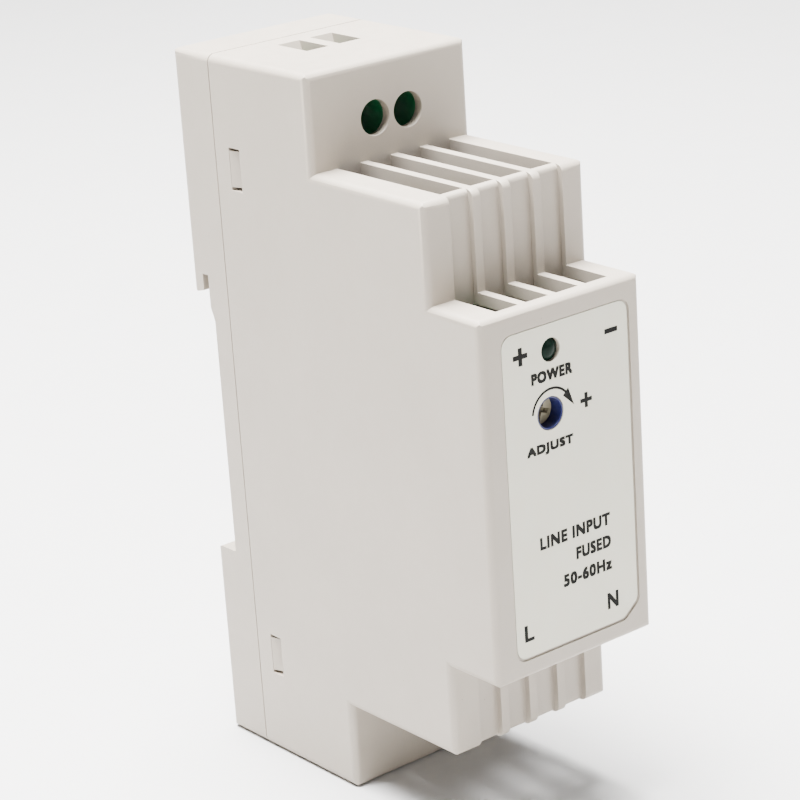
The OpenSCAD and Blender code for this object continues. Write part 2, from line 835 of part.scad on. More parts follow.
trimmer_face = -50;
rotor_r = 1.75;
collar_r = 1.99;

module trimmer_body() {
    color([0.10, 0.16, 0.58]) difference() {
        union() {
            block([trimmer_x - 3.3, trimmer_face, trimmer_z - 3.3], [trimmer_x + 3.3, -45.2, trimmer_z + 3.3]);
            rod_y(trimmer_x, trimmer_z, front_y + 0.12, trimmer_face + 1, collar_r);
        }
        rod_y(trimmer_x, trimmer_z, front_y - 1, -47.8, rotor_r + 0.06);
    }
    color(tin) for (z = [-2.5, 0, 2.5])
        block([control_x + control_t, -47, trimmer_z + z - 0.25],
            [trimmer_x - 3.3, -46.5, trimmer_z + z + 0.25]);
}

module trimmer_rotor() {
    color([0.62, 0.60, 0.52]) difference() {
        rod_y(trimmer_x, trimmer_z, trimmer_face - 0.6, -47.9, rotor_r);
        for (a = [0, 90]) translate([trimmer_x, 0, trimmer_z]) rotate([0, a + 20, 0])
            block([-1.35, -big, -0.3], [1.35, trimmer_face + 0.2, 0.3]);
        rod_y(trimmer_x, trimmer_z, -big, trimmer_face + 0.7, 0.35);
    }
}

front_cover();
rear_base();
front_label();
rail_latch();
latch_spring();
main_pcb();
insulating_sheet();
board_screws();
output_terminal_block();
input_terminal_block();
output_contacts();
input_contacts();
screw_positive();
screw_negative();
screw_line();
screw_neutral();
clamp_positive();
clamp_negative();
clamp_line();
clamp_neutral();
transformer_core();
transformer_bobbin();
transformer_winding();
input_capacitor();
input_capacitor_sleeve();
output_capacitors();
output_capacitor_sleeves();
film_capacitor();
safety_capacitor();
choke_core();
choke_windings();
mains_fuse();
fuse_caps();
thermistor();
bridge_rectifier();
switching_transistor();
switch_heat_sink();
output_diode();
diode_heat_sink();
heat_sink_screws();
output_inductor();
inductor_winding();
control_pcb();
control_header();
pwm_controller();
optocoupler();
indicator_led();
led_leads();
trimmer_body();
trimmer_rotor();
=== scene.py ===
"""Slim DIN rail power supply: finishes, printing, wires and solder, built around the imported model."""
import json
import math

import bmesh
import bpy
from mathutils import Matrix, Vector

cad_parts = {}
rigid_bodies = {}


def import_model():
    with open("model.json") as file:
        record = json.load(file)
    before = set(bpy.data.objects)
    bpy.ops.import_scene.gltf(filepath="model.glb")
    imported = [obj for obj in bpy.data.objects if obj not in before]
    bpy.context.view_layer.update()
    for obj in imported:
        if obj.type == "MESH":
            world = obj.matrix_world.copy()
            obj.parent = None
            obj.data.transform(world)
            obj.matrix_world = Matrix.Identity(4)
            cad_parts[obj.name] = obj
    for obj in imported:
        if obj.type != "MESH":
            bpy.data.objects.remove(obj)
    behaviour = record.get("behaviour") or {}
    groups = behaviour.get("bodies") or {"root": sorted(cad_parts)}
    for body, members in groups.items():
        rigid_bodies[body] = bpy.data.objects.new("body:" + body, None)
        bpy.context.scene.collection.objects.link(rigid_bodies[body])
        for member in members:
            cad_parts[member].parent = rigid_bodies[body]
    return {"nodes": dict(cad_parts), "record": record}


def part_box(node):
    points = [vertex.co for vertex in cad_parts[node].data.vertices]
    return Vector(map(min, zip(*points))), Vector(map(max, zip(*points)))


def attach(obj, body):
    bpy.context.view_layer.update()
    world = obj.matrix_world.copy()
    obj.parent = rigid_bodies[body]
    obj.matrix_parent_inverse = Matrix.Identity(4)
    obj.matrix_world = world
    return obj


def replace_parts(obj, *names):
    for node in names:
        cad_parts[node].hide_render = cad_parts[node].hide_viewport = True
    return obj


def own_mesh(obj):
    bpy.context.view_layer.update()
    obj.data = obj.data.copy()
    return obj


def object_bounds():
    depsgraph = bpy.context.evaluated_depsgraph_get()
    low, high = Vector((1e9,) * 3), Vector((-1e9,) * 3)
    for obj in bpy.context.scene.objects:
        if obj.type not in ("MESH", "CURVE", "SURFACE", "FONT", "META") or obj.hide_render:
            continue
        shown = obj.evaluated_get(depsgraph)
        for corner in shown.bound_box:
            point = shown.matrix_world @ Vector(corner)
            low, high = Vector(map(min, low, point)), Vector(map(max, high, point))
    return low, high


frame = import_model()
cad_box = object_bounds()
nodes = frame["nodes"]
MM = 0.001

# ---- Camera, floor and light ----

VIEW_AZIMUTH = math.radians(-38.2525)
VIEW_ELEVATION = math.radians(19.3409)
VIEW_ROLL = math.radians(-3.8631)
VIEW_DISTANCE = 349.732 * MM
VIEW_SHIFT = (2.0402 * MM, -2.9345 * MM)
VIEW_TARGET = Vector((0, -24.5 * MM, 0))
# Focal length, sensor width in millimetres, and the nearest distance that is drawn, in metres
LENS = 126.37
SENSOR = 36.0
CLIP_START = 0.01

# Name, place and size in metres, and power in watts
SOFTBOXES = (
    ("overhead_softbox", (-0.05, 0.06, 0.75), 0.42, 96.0),
    ("left_softbox", (-0.75, -0.1, 0.25), 0.4, 0.8),
    ("front_fill", (0.4, -0.65, 0.25), 0.3, 0.8),
)
# The backdrop's brightness falls from the horizon up; From is the upward part of the direction
BACKDROP_FADE = (("From Min", 0.15), ("From Max", 0.35), ("To Min", 1.8), ("To Max", 0.12))
FLOOR_REACH = 4


def add_camera():
    """A long lens that looks down a little on the front and left side, slightly rolled."""
    back = Vector((math.sin(VIEW_AZIMUTH) * math.cos(VIEW_ELEVATION),
                   -math.cos(VIEW_AZIMUTH) * math.cos(VIEW_ELEVATION),
                   math.sin(VIEW_ELEVATION)))
    level = Vector((0, 0, 1)).cross(back).normalized()
    upright = back.cross(level)
    right = level * math.cos(VIEW_ROLL) + upright * math.sin(VIEW_ROLL)
    up = upright * math.cos(VIEW_ROLL) - level * math.sin(VIEW_ROLL)
    place = VIEW_TARGET + back * VIEW_DISTANCE - right * VIEW_SHIFT[0] - up * VIEW_SHIFT[1]
    data = bpy.data.cameras.new("camera")
    data.lens = LENS
    data.sensor_width = SENSOR
    data.clip_start = CLIP_START
    camera = bpy.data.objects.new("camera", data)
    turn = Matrix((right, up, back)).transposed()
    camera.matrix_world = Matrix.Translation(place) @ turn.to_4x4()
    bpy.context.scene.collection.objects.link(camera)
    bpy.context.scene.camera = camera


def add_softbox(name, place, size, watts):
    """A square area light that faces the middle of the case."""
    data = bpy.data.lights.new(name, "AREA")
    data.shape = "SQUARE"
    data.size = size
    data.energy = watts
    lamp = bpy.data.objects.new(name, data)
    lamp.location = place
    lamp.rotation_euler = (VIEW_TARGET - Vector(place)).to_track_quat("-Z", "Y").to_euler()
    bpy.context.scene.collection.objects.link(lamp)


def add_studio():
    """The world and the lamps, and the floor under the case, which is returned."""
    world = bpy.data.worlds.new("studio")
    world.use_nodes = True
    tree = world.node_tree
    background = tree.nodes["Background"]
    background.inputs["Color"].default_value = (1.0, 1.0, 1.0, 1.0)
    height = tree.nodes.new("ShaderNodeSeparateXYZ")
    tree.links.new(tree.nodes.new("ShaderNodeTexCoord").outputs["Generated"], height.inputs[0])
    fade = tree.nodes.new("ShaderNodeMapRange")
    for name, value in BACKDROP_FADE:
        fade.inputs[name].default_value = value
    tree.links.new(height.outputs["Z"], fade.inputs["Value"])
    tree.links.new(fade.outputs["Result"], background.inputs["Strength"])
    bpy.context.scene.world = world
    for softbox in SOFTBOXES:
        add_softbox(*softbox)
    mesh = bpy.data.meshes.new("floor")
    z = cad_box[0][2]
    corners = [(x * FLOOR_REACH, y * FLOOR_REACH, z) for x, y in ((-1, -1), (1, -1), (1, 1), (-1, 1))]
    mesh.from_pydata(corners, [], [(0, 1, 2, 3)])
    floor = bpy.data.objects.new("floor", mesh)
    bpy.context.scene.collection.objects.link(floor)
    return floor


# ---- Procedural finishes ----

# The band of a noise pattern's values that is stretched to the full range
NOISE_BAND = (0.32, 0.68)
# Size in millimetres of the fine grain of a moulding tool's skin
TOOL_GRAIN = 0.24
# Inputs and output of the Mix node that carry colours
MIX_FACTOR, MIX_FIRST, MIX_SECOND, MIX_RESULT = 0, 6, 7, 2


def linear(red, green, blue):
    """The linear colour of an 8-bit display colour."""

    def channel(value):
        part = value / 255
        return part / 12.92 if part <= 0.04045 else ((part + 0.055) / 1.055) ** 2.4
    return (channel(red), channel(green), channel(blue), 1.0)


class Finish:
    """A Principled material whose colour, roughness and relief come from procedural patterns."""

    def __init__(self, name, roughness, metallic=0.0, **sockets):
        self.material = bpy.data.materials.new(name)
        self.material.use_nodes = True
        self.tree = self.material.node_tree
        self.shader = self.tree.nodes["Principled BSDF"]
        self.shader.inputs["Roughness"].default_value = roughness
        self.shader.inputs["Metallic"].default_value = metallic
        for socket, value in sockets.items():
            self.shader.inputs[socket.replace("_", " ")].default_value = value
        self.place = self.tree.nodes.new("ShaderNodeTexCoord").outputs["Object"]

    def node(self, kind, inputs, **settings):
        """Adds a node; an input is linked if it is a socket and set if it is a value."""
        made = self.tree.nodes.new(kind)
        for name, value in settings.items():
            setattr(made, name, value)
        for name, value in inputs.items():
            if isinstance(value, bpy.types.NodeSocket):
                self.tree.links.new(value, made.inputs[name])
            else:
                made.inputs[name].default_value = value
        return made

    def spread(self, value, first, last, low, high):
        """Maps a value between first and last to low and high."""
        ends = {"Value": value, "From Min": first, "From Max": last, "To Min": low, "To Max": high}
        return self.node("ShaderNodeMapRange", ends).outputs["Result"]

    def blotches(self, size, low=0.0, high=1.0, detail=3.0, place=None):
        """Soft blotches of about the given size in millimetres."""
        inputs = {"Vector": place or self.place, "Scale": 1 / (size * MM), "Detail": detail}
        pattern = self.node("ShaderNodeTexNoise", inputs)
        return self.spread(pattern.outputs["Fac"], *NOISE_BAND, low, high)

    def specks(self, spacing, radius):
        """One where a small round speck is, else zero; spacing and radius in millimetres."""
        inputs = {"Vector": self.place, "Scale": 1 / (spacing * MM)}
        cells = self.node("ShaderNodeTexVoronoi", inputs)
        edge = radius / spacing
        return self.spread(cells.outputs["Distance"], edge * 0.6, edge, 1.0, 0.0)

    def stretched(self, x, y, z):
        """The place, stretched along each axis."""
        inputs = {0: self.place, 1: (x, y, z)}
        return self.node("ShaderNodeVectorMath", inputs, operation="MULTIPLY").outputs[0]

    def mix(self, factor, first, second):
        """A colour between first, at zero, and second, at one."""
        inputs = {MIX_FACTOR: factor, MIX_FIRST: first, MIX_SECOND: second}
        return self.node("ShaderNodeMix", inputs, data_type="RGBA").outputs[MIX_RESULT]

    def colour(self, value):
        self.tree.links.new(value, self.shader.inputs["Base Color"])

    def rough(self, value):
        self.tree.links.new(value, self.shader.inputs["Roughness"])

    def relief(self, height, depth, onto=None):
        """Bump of the given depth in millimetres, over an earlier relief if there is one."""
        inputs = {"Height": height, "Distance": depth * MM, "Strength": 1.0}
        if onto:
            inputs["Normal"] = onto
        bump = self.node("ShaderNodeBump", inputs).outputs["Normal"]
        self.tree.links.new(bump, self.shader.inputs["Normal"])
        return bump


def shade(colour, factor):
    """The colour made lighter or darker by a factor."""
    return (*(min(1.0, part * factor) for part in colour[:3]), 1.0)


def moulded(name, colour, roughness, tone=0.03, depth=0.0035, specks=False):
    """Moulded plastic with a fine spark-eroded skin and faint colour variation."""
    finish = Finish(name, roughness)
    tint = finish.mix(finish.blotches(11), shade(colour, 1 - tone), shade(colour, 1 + tone))
    tint = finish.mix(finish.blotches(0.9, 0.0, 0.35), tint, shade(colour, 0.96))
    if specks:
        tint = finish.mix(finish.specks(3.7, 0.07), tint, shade(colour, 0.4))
    finish.colour(tint)
    finish.rough(finish.blotches(1.7, roughness - 0.04, roughness + 0.05))
    first = finish.relief(finish.blotches(TOOL_GRAIN, detail=2.0), depth)
    finish.relief(finish.blotches(6.0, detail=1.0), depth * 4, first)
    return finish.material


def polished(name, colour, roughness, grain=(1, 1, 1), depth=0.001, stain=0.9):
    """Metal with a fine grain, drawn out along the axes where grain is small, and faint stains."""
    finish = Finish(name, roughness, 1.0)
    tint = finish.mix(finish.blotches(1.3), shade(colour, stain), colour)
    finish.colour(finish.mix(finish.blotches(5.0, 0.0, 0.5), tint, shade(colour, 0.8)))
    finish.rough(finish.blotches(0.8, roughness - 0.06, roughness + 0.12))
    lines = finish.blotches(0.12, detail=2.0, place=finish.stretched(*grain))
    finish.relief(lines, depth)
    return finish.material


def dipped(name, colour, roughness, pit=1.4):
    """Dip-coated resin: glossy, a little lumpy, darker where it is thick."""
    finish = Finish(name, roughness, Coat_Weight=0.35, Coat_Roughness=0.12)
    finish.colour(finish.mix(finish.blotches(2.2), shade(colour, 0.8), shade(colour, 1.12)))
    finish.rough(finish.blotches(0.7, roughness - 0.05, roughness + 0.08))
    finish.relief(finish.blotches(pit, detail=1.0), 0.05)
    return finish.material


def moulded_epoxy(name, colour):
    """Matt black moulding compound with fine glass filler."""
    finish = Finish(name, 0.55)
    filler = finish.specks(0.35, 0.08)
    tint = finish.mix(finish.blotches(2.5), shade(colour, 0.8), shade(colour, 1.3))
    finish.colour(finish.mix(filler, tint, shade(colour, 2.6)))
    finish.rough(finish.blotches(0.6, 0.48, 0.66))
    finish.relief(finish.blotches(0.15), 0.006)
    return finish.material


def label_film():
    """Printed polyester film: pale, slightly green, with a faint orange-peel surface."""
    colour = linear(188, 186, 170)
    finish = Finish("label_film", 0.36, Coat_Weight=0.15, Coat_Roughness=0.25)
    tint = finish.mix(finish.blotches(9.0), shade(colour, 0.975), colour)
    tint = finish.mix(finish.blotches(2.6, 0.0, 0.5, detail=4.0), tint, linear(188, 182, 163))
    finish.colour(finish.mix(finish.specks(2.2, 0.05), tint, linear(176, 170, 158)))
    finish.rough(finish.blotches(3.0, 0.30, 0.44))
    first = finish.relief(finish.blotches(0.5, detail=2.0), 0.003)
    finish.relief(finish.blotches(7.0, detail=1.0), 0.03, first)
    return finish.material


def printing_ink():
    """Matt black ink, a little uneven."""
    colour = linear(16, 16, 15)
    finish = Finish("printing_ink", 0.7, Specular_IOR_Level=0.08)
    finish.colour(finish.mix(finish.blotches(0.5), colour, shade(colour, 1.7)))
    finish.rough(finish.blotches(0.3, 0.6, 0.8))
    finish.relief(finish.blotches(0.1), 0.002)
    return finish.material


def circuit_board():
    """Green solder mask over wide copper tracks, which show as lighter, slightly raised islands."""
    mask = linear(22, 92, 54)
    finish = Finish("circuit_board", 0.3, Coat_Weight=0.3, Coat_Roughness=0.15)
    across = finish.node("ShaderNodeVectorRotate", {"Vector": finish.place, "Angle": math.radians(90)},
                         rotation_type="X_AXIS").outputs["Vector"]
    inputs = {"Vector": across, "Scale": 1.0, "Mortar Size": 0.16 * MM, "Mortar Smooth": 0.2,
              "Brick Width": 5.3 * MM, "Row Height": 1.9 * MM}
    tracks = finish.node("ShaderNodeTexBrick", inputs, offset=0.37, squash=0.6, squash_frequency=3)
    tint = finish.mix(tracks.outputs["Fac"], shade(mask, 1.25), shade(mask, 0.6))
    finish.colour(finish.mix(finish.blotches(4.0, 0.0, 0.5), tint, mask))
    finish.rough(finish.blotches(0.9, 0.25, 0.4))
    finish.relief(tracks.outputs["Fac"], -0.035)
    return finish.material


def winding_tape():
    """Layers of yellow polyester tape whose edges show as fine steps."""
    colour = linear(226, 178, 44)
    finish = Finish("winding_tape", 0.32, Coat_Weight=0.4, Coat_Roughness=0.2)
    inputs = {"Vector": finish.place, "Scale": 1 / (6.5 * MM), "Distortion": 1.2, "Detail": 2.0}
    steps = finish.node("ShaderNodeTexWave", inputs, bands_direction="Y").outputs["Fac"]
    finish.colour(finish.mix(steps, shade(colour, 0.78), shade(colour, 1.1)))
    finish.rough(finish.blotches(1.5, 0.26, 0.42))
    finish.relief(steps, 0.03, finish.relief(finish.blotches(0.8), 0.01))
    return finish.material


def led_lens():
    """Smooth dark green resin, as it looks unlit."""
    colour = linear(6, 24, 17)
    finish = Finish("led_lens", 0.16, Specular_IOR_Level=0.05)
    finish.colour(finish.mix(finish.blotches(0.8), shade(colour, 0.7), shade(colour, 1.2)))
    finish.rough(finish.blotches(0.5, 0.10, 0.2))
    finish.relief(finish.blotches(1.0, detail=0.0), 0.01)
    return finish.material


def enamelled_copper():
    """Copper under a clear glossy enamel."""
    colour = linear(196, 104, 52)
    finish = Finish("copper_wire", 0.28, 0.85, Coat_Weight=0.6, Coat_Roughness=0.1)
    finish.colour(finish.mix(finish.blotches(0.9), shade(colour, 0.75), shade(colour, 1.15)))
    finish.rough(finish.blotches(0.6, 0.22, 0.36))
    finish.relief(finish.blotches(0.15), 0.002)
    return finish.material


FINISHES = {
    "case_plastic": moulded("case_plastic", linear(151, 142, 130), 0.42, specks=True),
    "latch_plastic": moulded("latch_plastic", linear(148, 139, 127), 0.4),
    "label_film": label_film(),
    "ink": printing_ink(),
    "terminal_green": moulded("terminal_green", linear(22, 92, 56), 0.34, tone=0.1),
    "circuit_board": circuit_board(),
    "insulating_film": moulded("insulating_film", linear(232, 228, 206), 0.3, tone=0.05, depth=0.001),
    "steel_zinc": polished("steel_zinc", linear(198, 200, 204), 0.3, (1, 0.15, 1)),
    "brass_nickel": polished("brass_nickel", linear(204, 184, 134), 0.34),
    "tinned_metal": polished("tinned_metal", linear(196, 196, 194), 0.42, depth=0.004),
    "solder": polished("solder", linear(188, 190, 192), 0.3, depth=0.006, stain=0.8),
    "copper_wire": enamelled_copper(),
    "ferrite": moulded_epoxy("ferrite", linear(62, 62, 66)),
    "choke_coating": dipped("choke_coating", linear(58, 104, 74), 0.35),
    "black_epoxy": moulded_epoxy("black_epoxy", linear(34, 34, 36)),
    "winding_tape": winding_tape(),
    "capacitor_aluminium": polished("capacitor_aluminium", linear(214, 214, 216), 0.26, (1, 0.1, 1)),
    "capacitor_sleeve": moulded("capacitor_sleeve", linear(26, 32, 58), 0.26, tone=0.1, depth=0.002),
    "sleeve_stripe": moulded("sleeve_stripe", linear(176, 182, 196), 0.3, tone=0.04, depth=0.002),
    "film_yellow": moulded("film_yellow", linear(224, 182, 48), 0.38, tone=0.05),
    "ceramic_blue": dipped("ceramic_blue", linear(34, 92, 178), 0.3),
    "thermistor_green": dipped("thermistor_green", linear(52, 84, 54), 0.5, pit=0.9),
    "ceramic_white": moulded("ceramic_white", linear(228, 222, 204), 0.34, tone=0.04),
    "aluminium_plate": polished("aluminium_plate", linear(206, 208, 210), 0.36, (0.08, 1, 1), 0.002),
    "led_green": led_lens(),
    "trimmer_blue": moulded("trimmer_blue", linear(14, 20, 72), 0.5, tone=0.08),
    "rotor_grey": moulded("rotor_grey", linear(138, 130, 108), 0.5, tone=0.08),
}

# ---- Finishes and broken edges of the CAD nodes ----

# Radius in millimetres to which the edges of the nodes in each slot are broken
EDGE_BREAKS = {
    "case_plastic": 0.24, "latch_plastic": 0.2, "label_film": 0.03, "terminal_green": 0.12,
    "circuit_board": 0.06, "insulating_film": 0.04, "steel_zinc": 0.07, "brass_nickel": 0.1,
    "tinned_metal": 0.05, "ferrite": 0.15, "choke_coating": 0.4, "black_epoxy": 0.1,
    "winding_tape": 0.12, "film_yellow": 0.35, "ceramic_blue": 0.5, "thermistor_green": 0.45,
    "ceramic_white": 0.1, "aluminium_plate": 0.1, "led_green": 0.06, "trimmer_blue": 0.1,
    "rotor_grey": 0.05,
}
REAR_BASE_BREAK = 0.3
# An edge is broken where its faces meet at more than this, in degrees
SHARP_ANGLE = 35
# Faces that meet at less than this, in degrees, are merged first
FLAT_ANGLE = 0.4
# Nodes that give way to finer pieces, which are built below
REPLACED = ("latch_spring", "choke_windings", "inductor_winding", "input_capacitor", "output_capacitors",
            "input_capacitor_sleeve", "output_capacitor_sleeves")


def soften(piece, width):
    """Breaks the sharp edges of a piece to a small radius in millimetres."""
    weld = piece.modifiers.new("weld", "WELD")
    weld.merge_threshold = 0.0005 * MM
    flat = piece.modifiers.new("flat", "DECIMATE")
    flat.decimate_type = "DISSOLVE"
    flat.angle_limit = math.radians(FLAT_ANGLE)
    bevel = piece.modifiers.new("edges", "BEVEL")
    bevel.width = width * MM
    bevel.segments = 2
    bevel.limit_method = "ANGLE"
    bevel.angle_limit = math.radians(SHARP_ANGLE)
    normals = piece.modifiers.new("normals", "WEIGHTED_NORMAL")
    normals.weight = 100
    for face in piece.data.polygons:
        face.use_smooth = True


def dress_nodes():
    """Gives every node its finish, and the ones that are kept their broken edges."""
    for part in frame["record"]["subparts"]:
        name, slot = part["node"], part["material_slot"]
        piece = nodes[name]
        piece.data.materials.clear()
        piece.data.materials.append(FINISHES[slot])
        if name not in REPLACED:
            soften(piece, REAR_BASE_BREAK if name == "rear_base" else EDGE_BREAKS[slot])


# Lengths of the tab and the leg ends of a power package, in millimetres
TAB_LENGTH = 6.5
LEG_LENGTH = 4.8
PLANE_SLACK = 0.01 * MM
# Front and rear of the epoxy bodies along Y, in millimetres; what sticks out is leg
EPOXY_SPANS = {"pwm_controller": (-22.05, -17.95), "optocoupler": (-33.05, -26.45)}
# The trimmer's legs begin this far to the left of its rotor
TRIMMER_BODY_DEPTH = 1.6 * MM
# Millimetres of bare lead at the rear of the dipped parts
LEAD_LENGTHS = {"safety_capacitor": 1.5, "thermistor": 2.0}


def metal_where(node, is_metal):
    """Gives a node's tinned legs and tabs their own finish; is_metal tests a face's centre."""
    mesh = nodes[node].data
    mesh.materials.append(FINISHES["tinned_metal"])
    for face in mesh.polygons:
        face.material_index = 1 if is_metal(face.center) else 0


def dress_legs():
    """Shows bare metal on the legs, tabs and leads of parts that are one node with their bodies."""
    for name in ("switching_transistor", "output_diode"):
        low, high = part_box(name)
        tab_end, leg_start = low[1] + TAB_LENGTH * MM, high[1] - LEG_LENGTH * MM
        metal_where(name, lambda c: c.y < tab_end + PLANE_SLACK or c.y > leg_start + PLANE_SLACK)
    for name, (front, rear) in EPOXY_SPANS.items():
        metal_where(name, lambda c: not front * MM < c.y < rear * MM)
    metal_where("trimmer_body", lambda c: c.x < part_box("trimmer_rotor")[0][0] - TRIMMER_BODY_DEPTH)
    for name, length in LEAD_LENGTHS.items():
        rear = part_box(name)[1][1]
        metal_where(name, lambda c: c.y > rear - length * MM)


# ---- Mesh pieces ----

# Vertices of one piece that lie closer than this are joined
JOIN_DISTANCE = 0.001 * MM


def add_piece(name, form, slot, finish=None, body="case"):
    """Turns a bmesh into a named piece that rides on a body."""
    mesh = bpy.data.meshes.new(name)
    bmesh.ops.recalc_face_normals(form, faces=form.faces)
    form.to_mesh(mesh)
    form.free()
    mesh.materials.append(FINISHES[finish or slot])
    piece = bpy.data.objects.new(name, mesh)
    bpy.context.scene.collection.objects.link(piece)
    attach(piece, body)
    return piece


def smooth(form):
    for face in form.faces:
        face.smooth = True


def add_box(form, low, high):
    """Adds a box between two corners."""
    middle = (Vector(low) + Vector(high)) / 2
    size = Vector(high) - Vector(low)
    place = Matrix.Translation(middle) @ Matrix.Diagonal((*size, 1))
    bmesh.ops.create_cube(form, size=1.0, matrix=place)


def add_tube(form, points, radius, sides=10):
    """Adds a round wire along the points, with low pointed caps at its ends."""
    rings = []
    # Any direction that no wire starts along
    up = Vector((0.31, 0.17, 0.93))
    count = len(points)
    for i, point in enumerate(points):
        along = (points[min(i + 1, count - 1)] - points[max(i - 1, 0)]).normalized()
        side = along.cross(up).normalized()
        up = side.cross(along)
        rings.append([form.verts.new(point + radius * (math.cos(a) * side + math.sin(a) * up))
                      for a in (2 * math.pi * k / sides for k in range(sides))])
    for first, second in zip(rings, rings[1:]):
        for k in range(sides):
            corners = (first[k], first[(k + 1) % sides], second[(k + 1) % sides], second[k])
            form.faces.new(corners)
    for ring, point, step in ((rings[0], points[0], -1), (rings[-1], points[-1], 1)):
        along = (points[1] - points[0]) if step < 0 else (points[-1] - points[-2])
        tip = form.verts.new(point + along.normalized() * radius * 0.5 * step)
        for k in range(sides):
            form.faces.new((ring[k], ring[(k + 1) % sides], tip))


def add_lathe(form, profile, axis_point, axis, steps=64):
    """Adds a solid of revolution; profile holds (radius, height along the axis) pairs."""
    turn = Vector((0, 0, 1)).rotation_difference(Vector(axis)).to_matrix()
    base = Vector(axis_point)
    angles = [2 * math.pi * k / steps for k in range(steps)]
    rings = []
    for radius, height in profile:
        # A radius of zero is a single point on the axis
        around = [(radius * math.cos(a), radius * math.sin(a)) for a in angles] if radius else [(0, 0)]
        rings.append([form.verts.new(base + turn @ Vector((x, y, height))) for x, y in around])
    for first, second in zip(rings, rings[1:]):
        for k in range(steps):
            n = (k + 1) % steps
            if len(first) == 1:
                form.faces.new((first[0], second[k], second[n]))
            elif len(second) == 1:
                form.faces.new((first[k], first[n], second[0]))
            else:
                form.faces.new((first[k], first[n], second[n], second[k]))


def add_plate(form, outline, rear, front):
    """Adds a thin plate with the given (x, z) outline between two planes across Y."""
    count = len(outline)
    sides = [[form.verts.new((x, y, z)) for x, z in outline] for y in (front, rear)]
    form.faces.new(sides[0])
    form.faces.new(list(reversed(sides[1])))
    for k in range(count):
        n = (k + 1) % count
        form.faces.new((sides[0][k], sides[1][k], sides[1][n], sides[0][n]))


def middle_of(node):
    low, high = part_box(node)
    return (Vector(low) + Vector(high)) / 2


# ---- Printing on the label ----

# How far the ink stands out of the label's front, and how far it reaches in
INK_REACH = 0.014 * MM
LETTER_SPACING = 1.13
# Points on each curved stretch of a letter
LETTER_STEPS = 3
# Vertices of a letter that lie closer than this are joined, in the font's own units
LETTER_JOIN = 0.0001
# How much wider the strikes of a word make its strokes, in millimetres
STRIKE_SPREAD = 0.2
# Offsets of the strikes, as parts of that width; the middle one comes first
STRIKES = ((0.5, 0.5), (0, 0), (0, 1), (1, 0), (1, 1))


def ink_rear():
    """Where the rear of the ink lies along Y."""
    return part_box("front_label")[0][1] + INK_REACH


def evaluated_mesh(item):
    """A new mesh of an object with its modifiers applied."""
    bpy.context.view_layer.update()
    return bpy.data.meshes.new_from_object(item.evaluated_get(bpy.context.evaluated_depsgraph_get()))


def letter_mesh(text):
    """The flat outlines of a word as a closed mesh one unit thick, in the font's own units."""
    curve = bpy.data.curves.new("lettering", "FONT")
    curve.body = text
    curve.space_character = LETTER_SPACING
    curve.extrude = 0.5
    curve.resolution_u = LETTER_STEPS
    letters = bpy.data.objects.new("lettering", curve)
    bpy.context.scene.collection.objects.link(letters)
    mesh = evaluated_mesh(letters)
    bpy.data.objects.remove(letters)
    bpy.data.curves.remove(curve)
    form = bmesh.new()
    form.from_mesh(mesh)
    bmesh.ops.remove_doubles(form, verts=form.verts, dist=LETTER_JOIN)
    form.to_mesh(mesh)
    form.free()
    return mesh


def add_word(form, text, left, right, bottom, height):
    """Adds lettering that fills the given width and cap height, in millimetres on the label."""
    mesh = letter_mesh(text)
    xs, ys = [v.co.x for v in mesh.vertices], [v.co.y for v in mesh.vertices]
    start, foot = min(xs), min(ys)
    wide = (right - left - STRIKE_SPREAD) / (max(xs) - start)
    tall = (height - STRIKE_SPREAD) / (max(ys) - foot)
    # The word is set five times a little apart and joined, which thickens its strokes
    strikes = bpy.data.collections.new("strikes")
    for across, up in STRIKES:
        copy = mesh.copy()
        for v in copy.vertices:
            x = (v.co.x - start) * wide + across * STRIKE_SPREAD
            y = (v.co.y - foot) * tall + up * STRIKE_SPREAD
            v.co = (x, y, v.co.z)
        strikes.objects.link(bpy.data.objects.new("strike", copy))
    bpy.data.meshes.remove(mesh)
    first, *others = strikes.objects
    bpy.context.scene.collection.children.link(strikes)
    rest = bpy.data.collections.new("rest")
    bpy.context.scene.collection.children.link(rest)
    for other in others:
        rest.objects.link(other)
    union = first.modifiers.new("union", "BOOLEAN")
    union.operation = "UNION"
    union.operand_type = "COLLECTION"
    union.solver = "EXACT"
    union.collection = rest
    joined = evaluated_mesh(first)
    rear = ink_rear()
    for v in joined.vertices:
        x, z, depth = v.co
        v.co = ((left + x) * MM, rear - (depth + 0.5) * 2 * INK_REACH, (bottom + z) * MM)
    form.from_mesh(joined)
    bpy.data.meshes.remove(joined)
    for strike in (first, *others):
        data = strike.data
        bpy.data.objects.remove(strike)
        bpy.data.meshes.remove(data)
    for group in (strikes, rest):
        bpy.data.collections.remove(group)


def add_bar(form, x, z, width, height):
    """Adds a printed bar around a point in millimetres."""
    rear = ink_rear()
    add_box(form, ((x - width / 2) * MM, rear - 2 * INK_REACH, (z - height / 2) * MM),
            ((x + width / 2) * MM, rear, (z + height / 2) * MM))


def add_plus(form, x, z, size, stroke):
    """Adds a printed plus around a point: an upright and, at its sides, two arms."""
    arm = (size - stroke) / 2
    add_bar(form, x, z, stroke, size)
    for side in (-1, 1):
        add_bar(form, x + side * (stroke + arm) / 2, z, arm, stroke)


